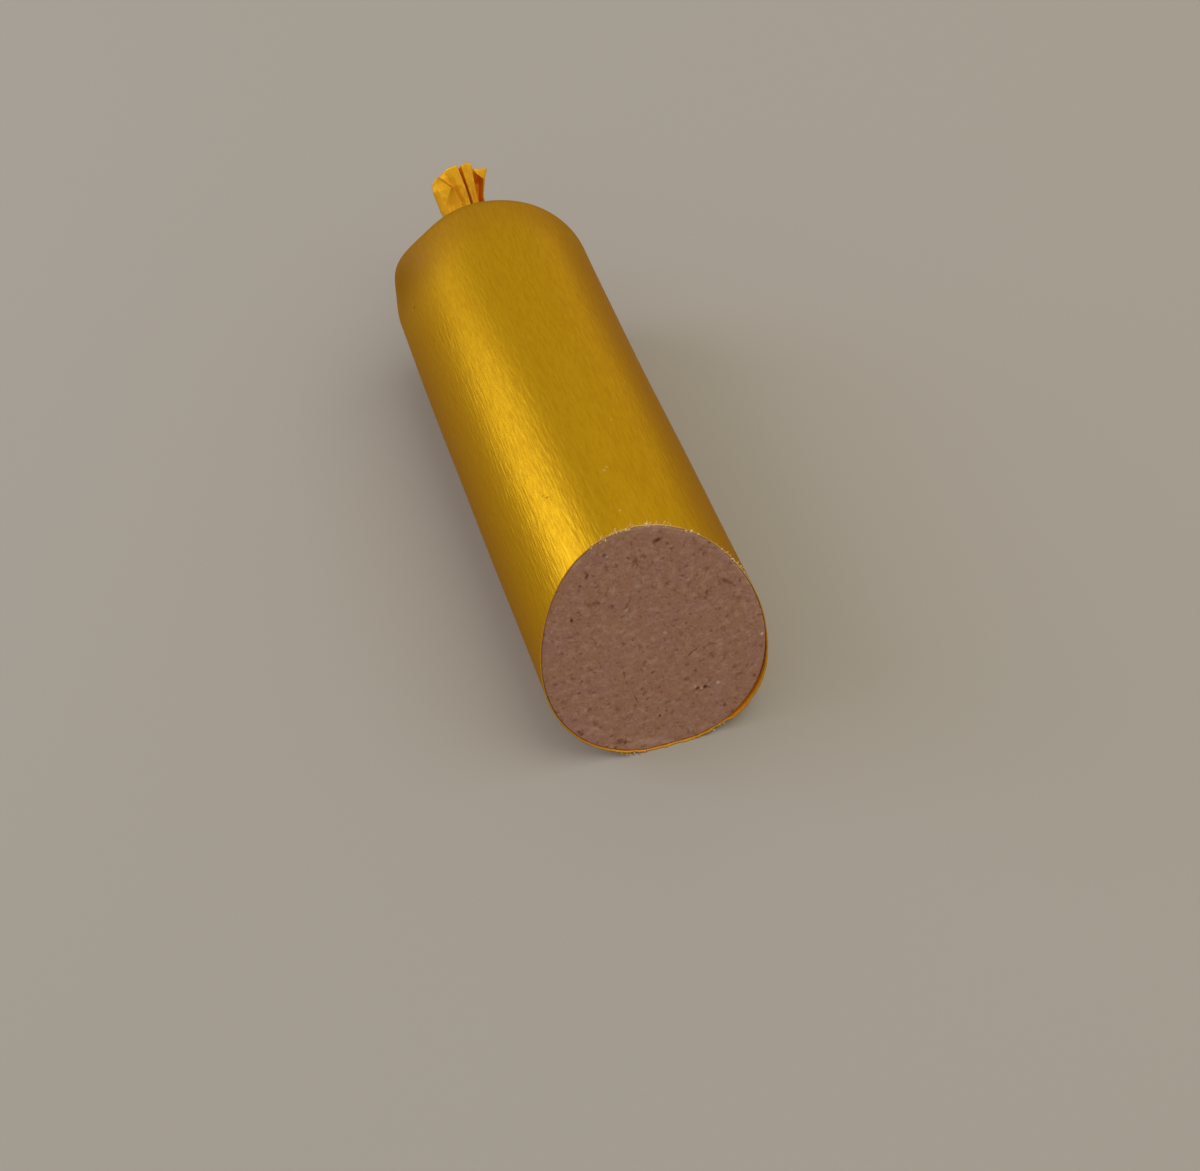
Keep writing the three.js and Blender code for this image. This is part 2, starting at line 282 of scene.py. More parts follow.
# Fineness of the surfaces: steps between rows of points
STEPS_PER_FOLD = 11
SIDES = 2 * STEPS_PER_FOLD * (len(TAIL_FOLDS) - 1)
BARREL_ROWS, BARREL_CROWDING = 112, 1.5
SHOULDER_ROWS, DOME_ROWS, FUNNEL_ROWS, NECK_ROWS = 14, 36, 16, 9
BEND_ROWS, FLARE_ROWS, FAN_ROWS = 14, 9, 22
LIP_STEPS = (1, 0.93, 0.86)
INSIDE_STEPS = (0, 0.004, 0.012, 0.03, 0.07, 0.15, 0.4, 0.7, 1)
MEAT_STEPS = (0.003, 0.012, 0.3, 0.65, 1)
SHOULDER_STEPS = (0.42, 0.75, 1)
DOME_STEPS = (0.2, 0.42, 0.64, 0.82, 0.94, 1)
FACE_GRID = 260
OUTSIDE, INSIDE, CUT_EDGE = 0, 1, 2

# Stage: the floor and the camera in metres, and the lights' places, sizes and tints
FLOOR_HALF = 4.0
AIR_TINT = (1.0, 0.96, 0.82, 1.0)
LIGHTS = {
    "window": ((-0.96, 0.54, 0.64), (0.5, 0.95), (0.93, 1.02, 1.45)),
    "ceiling": ((0.58, -0.1, 1.34), (1.2, 1.2), (1.0, 0.98, 0.92)),
    "far_wall": ((0.86, 1.02, 0.24), (0.8, 0.4), (1.0, 0.97, 0.9)),
}
LIT_PLACE = (0, -0.03, 0.03)
SENSOR_WIDTH = 36.0
NEAREST, FARTHEST = 0.01, 20
EYE_PLACE = (-0.071678, -0.271474, 0.32283)
EYE_HEADING, EYE_PITCH, EYE_ROLL = math.radians(-16.86), math.radians(52.91), math.radians(-2.95)


class SausageShape(bpy.types.PropertyGroup):
    """Sizes of the sausage"""
    calibre: FloatProperty(
        name="Calibre", description="Diameter of the filled casing", unit="LENGTH", default=0.055)
    cut_lean: FloatProperty(
        name="Cut lean", description="How far the cut leans back from square", subtype="ANGLE",
        default=math.radians(25.5))
    cut_skew: FloatProperty(
        name="Cut skew", description="How far the cut is turned sideways", subtype="ANGLE",
        default=math.radians(3.1))
    wall: FloatProperty(name="Wall", description="Thickness of the casing", unit="LENGTH", default=0.00028)
    gap: FloatProperty(
        name="Gap", description="Space between the casing and the meat", unit="LENGTH", default=0.0001)
    peel: FloatProperty(
        name="Peel", description="How far the rim stands off the meat at the lower right", unit="LENGTH",
        default=0.00035)


class CasingFinish(bpy.types.PropertyGroup):
    """Colours and gloss of the gold casing"""
    gold: FloatVectorProperty(
        name="Gold", description="Colour of the metallic flecks", subtype="COLOR", default=(0.725, 0.415, 0.008))
    shade: FloatVectorProperty(
        name="Shade", description="Colour between the flecks", subtype="COLOR", default=(0.52, 0.245, 0.003))
    # Darker, duller colour of the rounded end: partly wear, partly painted shade on the bulge and in the pleats'
    # creases
    handled: FloatVectorProperty(
        name="Handled", description="Duller colour of the rounded end", subtype="COLOR",
        default=(0.40, 0.19, 0.014))
    # Lighter colour of the gathered end: partly the bare film's own colour, partly painted light where the tail
    # faces up into the light
    unfilled: FloatVectorProperty(
        name="Unfilled", description="Colour of the gathered end, which has no meat behind it", subtype="COLOR",
        default=(0.97, 0.49, 0.022))
    paper: FloatVectorProperty(
        name="Paper", description="Colour of the fibrous core at the cut edge", subtype="COLOR",
        default=(0.92, 0.63, 0.30))
    lining: FloatVectorProperty(
        name="Lining", description="Colour of the inside", subtype="COLOR", default=(0.66, 0.21, 0.005))
    metal: FloatProperty(name="Metal", description="Share of metallic reflection", default=0.72, min=0, max=1)
    roughness: FloatProperty(
        name="Roughness", description="Roughness of the satin surface", default=0.37, min=0, max=1)


class MeatFinish(bpy.types.PropertyGroup):
    """Colours and grain of the meat paste"""
    paste: FloatVectorProperty(
        name="Paste", description="Main colour", subtype="COLOR", default=(0.376, 0.186, 0.118))
    mauve: FloatVectorProperty(
        name="Mauve", description="Colour of the pinker parts", subtype="COLOR", default=(0.372, 0.184, 0.139))
    fleck: FloatVectorProperty(
        name="Fleck", description="Colour of the soft brown flecks", subtype="COLOR", default=(0.17, 0.056, 0.024))
    # Painted shade colour of the pits and pores, also used for the darker smudges
    pit_shade_and_smudge: FloatVectorProperty(
        name="Pore", description="Colour of pores and pits", subtype="COLOR", default=(0.11, 0.026, 0.011))
    # Colour of the pale fat flecks, also used for the painted glints
    fat_and_glint: FloatVectorProperty(
        name="Fat", description="Colour of pale fat flecks", subtype="COLOR", default=(0.72, 0.50, 0.38))
    pores: IntProperty(name="Pores", description="Number of small scattered pores", default=150, min=0)
    grain: FloatProperty(name="Grain", description="Height of the paste's grain", default=0.00004, unit="LENGTH")


class FibreSettings(bpy.types.PropertyGroup):
    """Frayed fibres at the casing's cut edge"""
    count: IntProperty(name="Count", description="Number of frayed fibres", default=38, min=1)
    length: FloatProperty(name="Length", description="Length of the longest fibre", default=0.0012, unit="LENGTH")
    width: FloatProperty(name="Width", description="Width of a fibre", default=0.0002, unit="LENGTH")
    colour: FloatVectorProperty(
        name="Colour", description="Colour of the fibres", subtype="COLOR", default=(1.0, 0.68, 0.37))


class ClipSettings(bpy.types.PropertyGroup):
    """Wire clip round the neck"""
    width: FloatProperty(name="Width", description="Width of the flattened wire", default=0.0024, unit="LENGTH")
    thickness: FloatProperty(name="Thickness", description="Thickness of the wire", default=0.0015, unit="LENGTH")
    metal: FloatVectorProperty(
        name="Metal", description="Colour of the wire", subtype="COLOR", default=(0.62, 0.63, 0.65))


class StageSettings(bpy.types.PropertyGroup):
    """Floor, light and camera"""
    floor: FloatVectorProperty(
        name="Floor", description="Colour of the floor", subtype="COLOR", default=(0.46, 0.42, 0.37))
    air: FloatProperty(name="Surrounding light", description="Strength of the light all round", default=0.5, min=0)
    window: FloatProperty(name="Window", description="Power of the large light at the left", default=4.0, min=0)
    ceiling: FloatProperty(name="Ceiling", description="Power of the soft light overhead", default=5.7, min=0)
    far_wall: FloatProperty(
        name="Far wall", description="Power of the low light behind on the right", default=0.4, min=0)
    lens: FloatProperty(name="Lens", description="Focal length in millimetres", default=46.17, min=1)


# Curves and noise


def turn(angle, origin):
    """Shortest turn from one angle to another."""
    return np.arctan2(np.sin(angle - origin), np.cos(angle - origin))


def bump(distance, spread):
    return np.exp(-((distance / spread) ** 2))


def lerp(a, b, share):
    return a + (b - a) * share


def eased(share):
    return share * share * (3 - 2 * share)


def soft_noise(across, up, size, seed):
    """Smooth bumps between -1 and 1, about `size` from one to the next."""
    table = np.random.default_rng(seed).uniform(-1, 1, (256, 256))
    a, b = across / size, up / size
    i, j = np.floor(a).astype(int), np.floor(b).astype(int)
    u, v = eased(a - i), eased(b - j)
    i, j, i2, j2 = i % 256, j % 256, (i + 1) % 256, (j + 1) % 256
    return lerp(lerp(table[i, j], table[i2, j], u), lerp(table[i, j2], table[i2, j2], u), v)


def ring_waves(angle, seed, waves):
    """Random waves round a ring that meet at its ends, between about -1 and 1."""
    rng = np.random.default_rng(seed)
    total = np.zeros_like(angle)
    for k in waves:
        total = total + rng.uniform(0.4, 1) * np.cos(k * angle + rng.uniform(0, 2 * math.pi))
    return total / math.sqrt(len(waves))


def set_waves(angle, terms):
    """Waves round a ring, each with its height, number and start."""
    return sum(height * np.sin(count * angle + start) for height, count, start in terms)


def ramp(along, start, length):
    """An eased rise from 0 to 1 that begins at a distance along the axis."""
    return eased(np.clip((along - start) / length, 0, 1))


# The sausage's outer form


def shape():
    return bpy.context.scene.liverwurst_shape


def section_radius(angle):
    share = 1.0
    for waves, cosine, sine in OUT_OF_ROUND:
        share = share + cosine * np.cos(waves * angle) + sine * np.sin(waves * angle)
    return shape().calibre / 2 / MM * share


def axis_height():
    return float(section_radius(np.float64(-math.pi / 2))) - REST_FLAT


def centre(along):
    drift = np.clip((along - LEAN_START) / (DOME_END - LEAN_START), 0, 1) ** 2
    return NECK_DRIFT * drift, axis_height() * (1 + SWELL_PER_MM * along) + NECK_RISE * drift


def shoulder_at(angle):
    return SHOULDER - SHOULDER_TURN * np.cos(angle)


def cut_along(angle, inset):
    """Distance along the axis at which the cut plane meets the surface."""
    radius = section_radius(angle) - inset
    up = np.maximum(radius * np.sin(angle), inset - axis_height())
    lean, skew = shape().cut_lean, shape().cut_skew
    return up * math.tan(lean) / math.cos(skew) - radius * np.cos(angle) * math.tan(skew)


def skin(angle, along, inset=0.0, lift=0.0):
    """Points of the casing's outside, or of a surface lying a little way inside it."""
    start = shoulder_at(angle)
    reach = np.clip((along - start) / (DOME_END - inset - start), 0, 1)
    fall = (1 - reach ** DOME_POWER) ** (1 / DOME_ROUNDING)
    filled = section_radius(angle) * (1 + SWELL_PER_MM * along) - inset
    pressed = sum(
        height * bump(turn(angle, math.radians(turned)), math.radians(wide)) * bump(along - at, length)
        for height, turned, wide, at, length in BULGES)
    radius = filled * fall + pressed * (1 - reach ** 4) + lift
    x, z = centre(along)
    return points(x + radius * np.cos(angle), along, np.maximum(z + radius * np.sin(angle), inset))


def points(x, y, z):
    return np.stack(np.broadcast_arrays(x, y, z), axis=-1).astype(float)


def gathers(angle):
    """The gathers on the dome: main pleats and finer wrinkles, each 0 in a crease and 1 on a ridge."""
    wander = set_waves(angle, PLEAT_WANDER)
    main = np.abs(np.cos(PLEATS / 2 * angle + wander))
    fine = np.abs(np.cos(FINE_PLEATS * angle + 1.4 * wander))
    return main, fine


def bundle_radius(angle):
    """Radius of the gathered neck, which has the main pleats alone."""
    wander = set_waves(angle, PLEAT_WANDER[:1])
    return NECK_RADIUS + NECK_PLEAT * np.abs(np.cos(PLEATS / 2 * angle + wander))


def pleats(angle, reach):
    """Height of the casing's gathers on the dome, of uneven depth, which deepen towards the neck."""
    main, fine = gathers(angle)
    main = main * (0.75 + 0.25 * np.sin(2 * angle + 0.7))
    return PLEAT_DEPTH * (1.5 * reach ** 2.5 * main + 0.5 * reach ** 4 * fine)


def unevenness(angle, along):
    """The slight waviness of a filled casing."""
    around = ring_waves(angle, UNEVEN_SEED, UNEVEN_WAVES)
    long_waves = np.sin(along / 17 + 1.7 * np.sin(angle))
    short_waves = np.sin(along / 9.5 + 3 * np.cos(angle))
    return UNEVENNESS * (around * long_waves + short_waves)


def peeled(angle):
    """Share of the peel at each angle: it ends with a small step at the lower end."""
    stepped = eased(np.clip(turn(angle, PEEL_END) / PEEL_END_SPREAD, 0, 1))
    return np.exp(-(turn(angle, PEEL_ANGLE) / PEEL_SPREAD) ** 4) * stepped


def peel_lift(angle, behind_cut):
    waves = 1 + set_waves(angle, PEEL_WAVES)
    return shape().peel / MM * peeled(angle) * waves * np.exp(-behind_cut / PEEL_DEPTH)


def rim_stand(angle):
    """How far the casing's cut edge stands out past the meat: more along the foot, and more ragged there."""
    foot = FOOT_STAND * bump(turn(angle, FOOT_ANGLE), FOOT_SPREAD)
    torn = bump(turn(angle, TORN_ANGLE), TORN_SPREAD)
    ragged = sum(height * ring_waves(angle, seed, waves) for height, seed, waves in RIM_TEARS)
    return RIM_STAND + foot + PEEL_STAND * peeled(angle) + ragged * (1 + TORN_MORE * torn)


# Rows of points round the casing, from the inside of the dome to the cut, then back outside to the tail


def barrel_row(angle, behind, inset):
    start = cut_along(angle, inset) - rim_stand(angle)
    along = lerp(start, BARREL_END, behind)
    settled = np.minimum(behind / UNEVEN_FROM, 1)
    return skin(angle, along, inset, peel_lift(angle, along - start) + settled * unevenness(angle, along))


def shoulder_row(angle, step, inset):
    along = lerp(BARREL_END, shoulder_at(angle), step)
    return skin(angle, along, inset, (1 - step) * unevenness(angle, along))


def dome_row(angle, reach, inset, gathered=0.0):
    along = lerp(shoulder_at(angle), DOME_END - inset, reach)
    return skin(angle, along, inset, gathered * pleats(angle, reach))


def neck_row(angle, along):
    radius = bundle_radius(angle) - NECK_PINCH * bump(along - CLIP_ALONG, NECK_PINCH_LENGTH)
    x, z = centre(np.float64(along))
    return points(x + radius * np.cos(angle), along, z + radius * np.sin(angle))


def curve_between(foot, corner, top, step):
    """A point of the curve that leaves the foot towards the corner and comes in from there to the top."""
    return (1 - step) ** 2 * foot + 2 * step * (1 - step) * corner + step ** 2 * top


def funnel_row(angle, step):
    foot = dome_row(angle, FUNNEL_REACH, 0.0, 1.0)
    return curve_between(foot, neck_row(angle, DOME_END), neck_row(angle, NECK_START), step)


def folds(share, column):
    """A column of the tail's folds at a share of the way across, straight between its creases."""
    values = [fold[column] for fold in TAIL_FOLDS]
    return np.interp(share * (len(values) - 1), range(len(values)), values)


def flattened(angle):
    """Where a side of a ring lies on the flattened tail: the share across it, and which of its two faces."""
    from_right = np.abs(turn(angle, 0)) / math.pi
    edge = np.minimum(from_right, 1 - from_right) < 0.001
    return 1 - from_right, np.where(edge, 0, np.sign(turn(angle, 0)))


def tail_points(across, height, out):
    """Points from their places across, above and out along the lifted tail."""
    x, y, z = TAIL_ROOT
    sine, cosine = math.sin(TAIL_LIFT), math.cos(TAIL_LIFT)
    return points(x + across, y + out * cosine - height * sine, z + out * sine + height * cosine)


def flare(angle, out):
    """Places across and above the tail where it opens from the neck to its waist."""
    share, face = flattened(angle)
    opened = math.sin(math.pi / 2 * out / TAIL_WAIST)
    across = lerp(folds(share, ACROSS_NECK), folds(share, ACROSS_WAIST), opened)
    return across, folds(share, WAIST_HEIGHT) * lerp(TAIL_BUNCHED, 1, opened) + face * TAIL_HALF_WALL


def bend_row(angle, step):
    """The tail turns up from the neck while its round bundle opens into a fan."""
    fan_across, fan_height = flare(angle, step * TAIL_BEND)
    bundle = bundle_radius(angle)
    opened = eased(step)
    across = lerp(bundle * np.cos(angle), fan_across, opened)
    height = lerp(bundle * np.sin(angle), fan_height, opened)
    x, z = centre(np.float64(NECK_END))
    foot = points(x, NECK_END, z)
    middle = curve_between(foot, foot + TAIL_BEND_CORNER, tail_points(0, 0, TAIL_BEND), step)
    tilt = TAIL_LIFT * step
    return middle + points(across, -height * math.sin(tilt), height * math.cos(tilt))


def flare_row(angle, step):
    out = lerp(TAIL_BEND, TAIL_WAIST, step)
    across, height = flare(angle, out)
    return tail_points(across, height, out)


def fan_row(angle, step, wall):
    """From the waist (0) by way of the middle (0.5) to the tip (1)."""
    share, face = flattened(angle)
    first, second = min(step * 2, 1), max(step * 2 - 1, 0)
    across = lerp(folds(share, ACROSS_WAIST), folds(share, ACROSS_MIDDLE), first)
    across = lerp(across, folds(share, ACROSS_TIP), second)
    height = lerp(folds(share, WAIST_HEIGHT), folds(share, MIDDLE_HEIGHT), first)
    height = lerp(height, folds(share, TIP_HEIGHT), second)
    out = lerp(lerp(TAIL_WAIST, TAIL_MID, first), folds(share, TIP_REACH), second)
    crumple = CRUMPLE * soft_noise(across + CRUMPLE_SHIFT, out, CRUMPLE_SIZE, CRUMPLE_SEED) * min(3 * step, 1)
    return tail_points(across, height + crumple + face * wall, out)


def even_steps(count):
    return np.arange(1, count + 1) / count


def casing_rows():
    """Angles round the casing, all its rows, and each row's mark: outside, inside or on the cut edge."""
    angle = math.pi / 2 - 2 * math.pi * np.arange(SIDES) / SIDES
    wall = shape().wall / MM
    inside = [barrel_row(angle, step, wall) for step in INSIDE_STEPS]
    inside += [shoulder_row(angle, step, wall) for step in SHOULDER_STEPS]
    inside += [dome_row(angle, reach, wall) for reach in DOME_STEPS]
    outside = [barrel_row(angle, step ** BARREL_CROWDING, 0.0) for step in (0, *even_steps(BARREL_ROWS))]
    outside += [shoulder_row(angle, step, 0.0) for step in even_steps(SHOULDER_ROWS)]
    outside += [dome_row(angle, FUNNEL_REACH * step, 0.0, 1.0) for step in even_steps(DOME_ROWS)]
    outside += [funnel_row(angle, step) for step in even_steps(FUNNEL_ROWS)]
    outside += [neck_row(angle, lerp(NECK_START, NECK_END, step)) for step in even_steps(NECK_ROWS)]
    outside += [bend_row(angle, step) for step in even_steps(BEND_ROWS)]
    outside += [flare_row(angle, step) for step in even_steps(FLARE_ROWS)]
    outside += [fan_row(angle, step, TAIL_HALF_WALL) for step in even_steps(FAN_ROWS)]
    lip = [fan_row(angle, step, TAIL_HALF_WALL - TAIL_LIP) for step in LIP_STEPS]
    lip.append(fan_row(angle, LIP_STEPS[-1], 0.0))
    marks = np.repeat([INSIDE, OUTSIDE, INSIDE], [len(inside), len(outside), len(lip)])
    marks[len(inside) - 1:len(inside) + 1] = CUT_EDGE
    return angle, np.array(inside[::-1] + outside + lip), marks


# Meshes


def place():
    """From the sausage's own axis to the part's frame, both in millimetres: the clip is known in both."""
    low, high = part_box("clip")
    middle = (low + high) / 2 / MM
    return np.array([middle.x - NECK_DRIFT, middle.y - CLIP_ALONG, 0.0])


def new_mesh(name, places, edges, faces, values):
    """A mesh from points in millimetres on the sausage's axis, with its named values, each a number or a vector."""
    mesh = bpy.data.meshes.new(name)
    mesh.from_pydata(((places + place()) * MM).tolist(), edges, faces)
    for key, value in values.items():
        kind, field = ("FLOAT_VECTOR", "vector") if value.ndim == 2 else ("FLOAT", "value")
        mesh.attributes.new(key, kind, "POINT").data.foreach_set(field, value.astype(np.float32).ravel())
    return mesh


def new_piece(name, places, faces, material, values):
    """A smooth piece in one material, with the named values that its material reads."""
    mesh = new_mesh(name, places, [], faces.tolist(), values)
    shell = bmesh.new()
    shell.from_mesh(mesh)
    bmesh.ops.remove_doubles(shell, verts=shell.verts, dist=1e-7)
    shell.to_mesh(mesh)
    shell.free()
    mesh.polygons.foreach_set("use_smooth", [True] * len(mesh.polygons))
    mesh.materials.append(material)
    piece = bpy.data.objects.new(name, mesh)
    bpy.context.scene.collection.objects.link(piece)
    return piece


def grid_cells(grid):
    """Four-sided faces between the points of a grid of point numbers."""
    return np.stack([grid[:-1, :-1], grid[:-1, 1:], grid[1:, 1:], grid[1:, :-1]], axis=-1).reshape(-1, 4)


def grid_edge(grid):
    """Point numbers once round the border of a grid."""
    return np.concatenate([grid[0, :-1], grid[:-1, -1], grid[-1, :0:-1], grid[:0:-1, 0]])


def closed_rings(rings):
    """Rows of point numbers, each with its first point again at the end."""
    return np.column_stack([rings, rings[:, 0]])


def corner_flap():
    """The small turned down corner as a thin closed sheet: points and faces."""
    a, b, c, d = (np.array(corner) for corner in CORNER_FLAP)
    line = np.linspace(0, 1, CORNER_STEPS + 1)
    u, v = (side.reshape(-1, 1) for side in np.meshgrid(line, line, indexing="ij"))
    across, out, height = lerp(lerp(a, b, u), lerp(d, c, u), v).T
    height = height + CORNER_CROWN * (np.sin(math.pi * u) * np.sin(math.pi * v)).ravel()
    layers = [tail_points(across, height + wall, out) for wall in (CORNER_HALF_WALL, -CORNER_HALF_WALL)]
    total = len(across)
    grid = np.arange(total).reshape(CORNER_STEPS + 1, -1)
    top, edge = grid_cells(grid), grid_edge(grid)
    following = np.roll(edge, -1)
    rim = np.stack([edge + total, following + total, following, edge], axis=-1)
    return np.concatenate(layers), np.concatenate([top, top[:, ::-1] + total, rim])


def face_points():
    """An even grid of points over the cut face: each one's share out from the middle, and its angle."""
    line = np.linspace(-1, 1, FACE_GRID + 1)
    a, b = np.meshgrid(line, line, indexing="ij")
    wide = np.abs(a) > np.abs(b)
    with np.errstate(divide="ignore", invalid="ignore"):
        radius = np.where(wide, a, b)
        turned = np.where(wide, math.pi / 4 * b / a, math.pi / 2 - math.pi / 4 * a / b)
    turned = np.nan_to_num(turned)
    x, y = radius * np.cos(turned), radius * np.sin(turned)
    return np.hypot(x, y), np.arctan2(y, x)


def spot(across, up, outline):
    """Share of a stretched round spot at each place: 1 at its middle, 0 well outside."""
    x0, y0, half_length, half_width, turned = outline
    cosine, sine = math.cos(math.radians(turned)), math.sin(math.radians(turned))
    x, y = across - x0, up - y0
    along, aside = (x * cosine + y * sine) / half_length, (y * cosine - x * sine) / half_width
    return np.exp(-(along ** 2 + aside ** 2) ** 1.4)


def scattered(count):
    """Random pores all over the cut face, mostly small, given as the pits are, with their darkness as painted
    shade.
    """
    rng = np.random.default_rng(PORE_SEED)
    smallest, largest = PORE_SIZE
    for _ in range(count):
        half = smallest + (largest - smallest) * rng.random() ** 3
        angle, out = rng.uniform(0, 2 * math.pi), FACE_REACH * math.sqrt(rng.random())
        yield (out * math.cos(angle), out * math.sin(angle) * FACE_STRETCH, half * rng.uniform(1, 2), half,
               rng.uniform(0, 180), half * PORE_DEPTH, rng.uniform(0.15, 0.5))


def face_relief(across, up, finish):
    """Depth, darkness and paleness of the cut face at each place. The pits' and pores' darkness is painted shade,
    and the palest raised spots are painted glints; the smudges and the other pale flecks are the paste's own
    colour.
    """
    def relief(size, seed):
        return soft_noise(across + RELIEF_SHIFT, up + RELIEF_SHIFT, size, seed)

    grain = finish.grain / MM
    depth = -0.07 * relief(7.5, 31) - 0.03 * relief(2.6, 32) - grain * (relief(0.95, 33) + relief(0.5, 34))
    depth = depth + 0.012 * np.sin(across * 1.7 + 0.25 * up + 2 * relief(9, 35))
    ragged = 1 + 0.5 * relief(0.6, 36)
    torn_across, torn_up = across + TORN_EDGE * relief(TORN_SIZE, 37), up + TORN_EDGE * relief(TORN_SIZE, 38)
    dark, pale = np.zeros_like(across), np.zeros_like(across)
    # The pits' and pores' darkness is painted shade
    for *pit, deep, darkness in (*PITS, *scattered(finish.pores)):
        here = spot(torn_across, torn_up, pit)
        depth = depth + deep * here
        dark = np.maximum(dark, darkness * here)
    for *smudge, darkness in SMUDGES:
        dark = np.maximum(dark, darkness * spot(across, up, smudge) * ragged)
    # Pale fat flecks and smears, with painted glints on the palest raised spots
    for *fleck, paleness, height in PALE_SPOTS:
        here = spot(torn_across, torn_up, fleck)
        depth = depth - height * here
        pale = np.maximum(pale, paleness * here)
        dark = dark * (1 - here * min(paleness * 1.2, 1))
    return depth, np.clip(dark, 0, 1), pale


def near_border(out, angle, width):
    """1 at the border of the cut face, falling to 0 at a distance in from it."""
    return np.clip(1 - (1 - out) * section_radius(angle) / width, 0, 1)


def cut_face(inset, finish):
    """The points of the cut face with their angles, darkness and paleness."""
    out, angle = face_points()
    lean, skew = shape().cut_lean, shape().cut_skew
    inward = np.array([math.tan(skew), 1.0, -math.tan(lean) / math.cos(skew)])
    inward /= np.linalg.norm(inward)
    border = skin(angle, cut_along(angle, inset), inset)
    middle = points(0.0, 0.0, axis_height())
    flat = middle + out[..., None] * (border - middle)
    depth, dark, pale = face_relief(flat[..., 0], (flat[..., 2] - axis_height()) / math.cos(lean), finish)
    edge, smeared = near_border(out, angle, CUT_ROUNDING), near_border(out, angle, SMEAR_WIDTH)
    upper = bump(turn(angle, UPPER_ANGLE), UPPER_SPREAD)
    rounded = lerp(0.22, 0.03, upper) * (1 - np.sqrt(1 - (edge * 0.96) ** 2))
    depth = depth * (1 - edge ** 4) + rounded
    pale = np.maximum(pale, (0.16 * smeared + 0.22 * edge) * upper)
    return flat + depth[..., None] * inward, angle, dark, pale


def casing_values(angle, rows, marks):
    """The casing's named values: its unrolled coordinates, and how far each of its finishes holds."""
    along, edge = rows[..., 1], (marks == CUT_EDGE)[:, None]
    steps = np.linalg.norm(np.diff(rows, axis=0), axis=-1)
    travel = np.concatenate([np.zeros((1, len(angle))), np.cumsum(steps, axis=0)])
    rim = int(np.argmax(marks == CUT_EDGE)) + 1
    travel = np.abs(travel - travel[rim]) + along[rim]
    radius = section_radius(np.float64(0))
    pale_rim = sum(share * bump(turn(angle, middle), wide) for share, middle, wide in PALE_RIM)
    pale_rim = pale_rim * (0.8 + 0.3 * ring_waves(angle, PALE_RIM_SEED, PALE_RIM_WAVES))
    # The gathered end is made lighter: partly its own colour, partly painted light
    unfilled = ramp(along, NECK_START, UNFILLED_AND_LIT_LENGTH) * (marks == OUTSIDE)[:, None]
    # Painted shade over the pressed-out bulge and in the creases of the pleats, added to the worn rounded end
    bulge_shade = bump(turn(angle, BULGE_SHADE_ANGLE), BULGE_SHADE_SPREAD) * ramp(along, BULGE_SHADE_FROM, BULGE_SHADE_LENGTH)
    crease_shade = (1 - gathers(angle)[0]) ** 3 * ramp(along, CREASE_SHADE_FROM, CREASE_SHADE_LENGTH)
    handled = 0.5 * ramp(along, HANDLED_AND_SHADE_FROM, HANDLED_AND_SHADE_LENGTH) + 0.42 * bulge_shade + 0.5 * crease_shade
    return {
        "lie": points(radius * np.cos(angle), radius * np.sin(angle), travel),
        "paper": edge * np.clip(pale_rim, 0.08, 1),
        "lining": np.broadcast_to((marks == INSIDE)[:, None] + 0.3 * edge, travel.shape),
        "handled": np.minimum(handled, 1) * (1 - unfilled),
        "unfilled": unfilled,
    }


# Materials


def add_node(tree, kind, inputs=None, **settings):
    node = tree.nodes.new(kind)
    for key, value in settings.items():
        setattr(node, key, value)
    for key, value in (inputs or {}).items():
        if isinstance(value, bpy.types.NodeSocket):
            tree.links.new(value, node.inputs[key])
        else:
            node.inputs[key].default_value = value
    return node


def made_by(tree, kind, inputs=None, **settings):
    """The first output of a new node."""
    return add_node(tree, kind, inputs, **settings).outputs[0]


def new_material(name, **values):
    """A fresh material with its Principled shader; values go straight onto the shader's sockets."""
    material = bpy.data.materials.new(name)
    material.use_nodes = True
    tree = material.node_tree
    shader = tree.nodes["Principled BSDF"]
    for key, value in values.items():
        shader.inputs[key.replace("_", " ")].default_value = value
    return material, tree, shader


def shade(tree, shader, **outputs):
    """Links what varies over the surface to the shader's sockets."""
    for key, output in outputs.items():
        tree.links.new(output, shader.inputs[key.replace("_", " ")])


def colour(value, darker=1.0):
    return (*(channel * darker for channel in value), 1.0)


def mix_colour(tree, share, first, second):
    # The sockets of the mix node that are for colours have the numbers 6 and 7, and its colour comes out at 2
    return add_node(tree, "ShaderNodeMix", {0: share, 6: first, 7: second}, data_type="RGBA").outputs[2]


def spread(tree, value, low, high, to_low=0.0, to_high=1.0):
    node = add_node(tree, "ShaderNodeMapRange", {"Value": value, "From Min": low, "From Max": high,
                                                 "To Min": to_low, "To Max": to_high})
    return node.outputs["Result"]


def maths(tree, operation, first, second):
    return made_by(tree, "ShaderNodeMath", {0: first, 1: second}, operation=operation)


def plus(tree, first, second):
    return maths(tree, "ADD", first, second)


def times(tree, first, second):
    return maths(tree, "MULTIPLY", first, second)


def noise(tree, vector, scale, detail=2.0, roughness=0.5):
    return made_by(tree, "ShaderNodeTexNoise", {
        "Vector": vector, "Scale": scale, "Detail": detail, "Roughness": roughness})


def stretched(tree, vector, scale):
    return made_by(tree, "ShaderNodeMapping", {"Vector": vector, "Scale": scale}, vector_type="POINT")


def own_place(tree):
    return add_node(tree, "ShaderNodeTexCoord").outputs["Object"]


def named_value(tree, name, output="Fac"):
    return add_node(tree, "ShaderNodeAttribute", attribute_name=name, attribute_type="GEOMETRY").outputs[output]


def raised(tree, height, distance, strength=1.0):
    return made_by(tree, "ShaderNodeBump", {"Height": height, "Distance": distance, "Strength": strength})


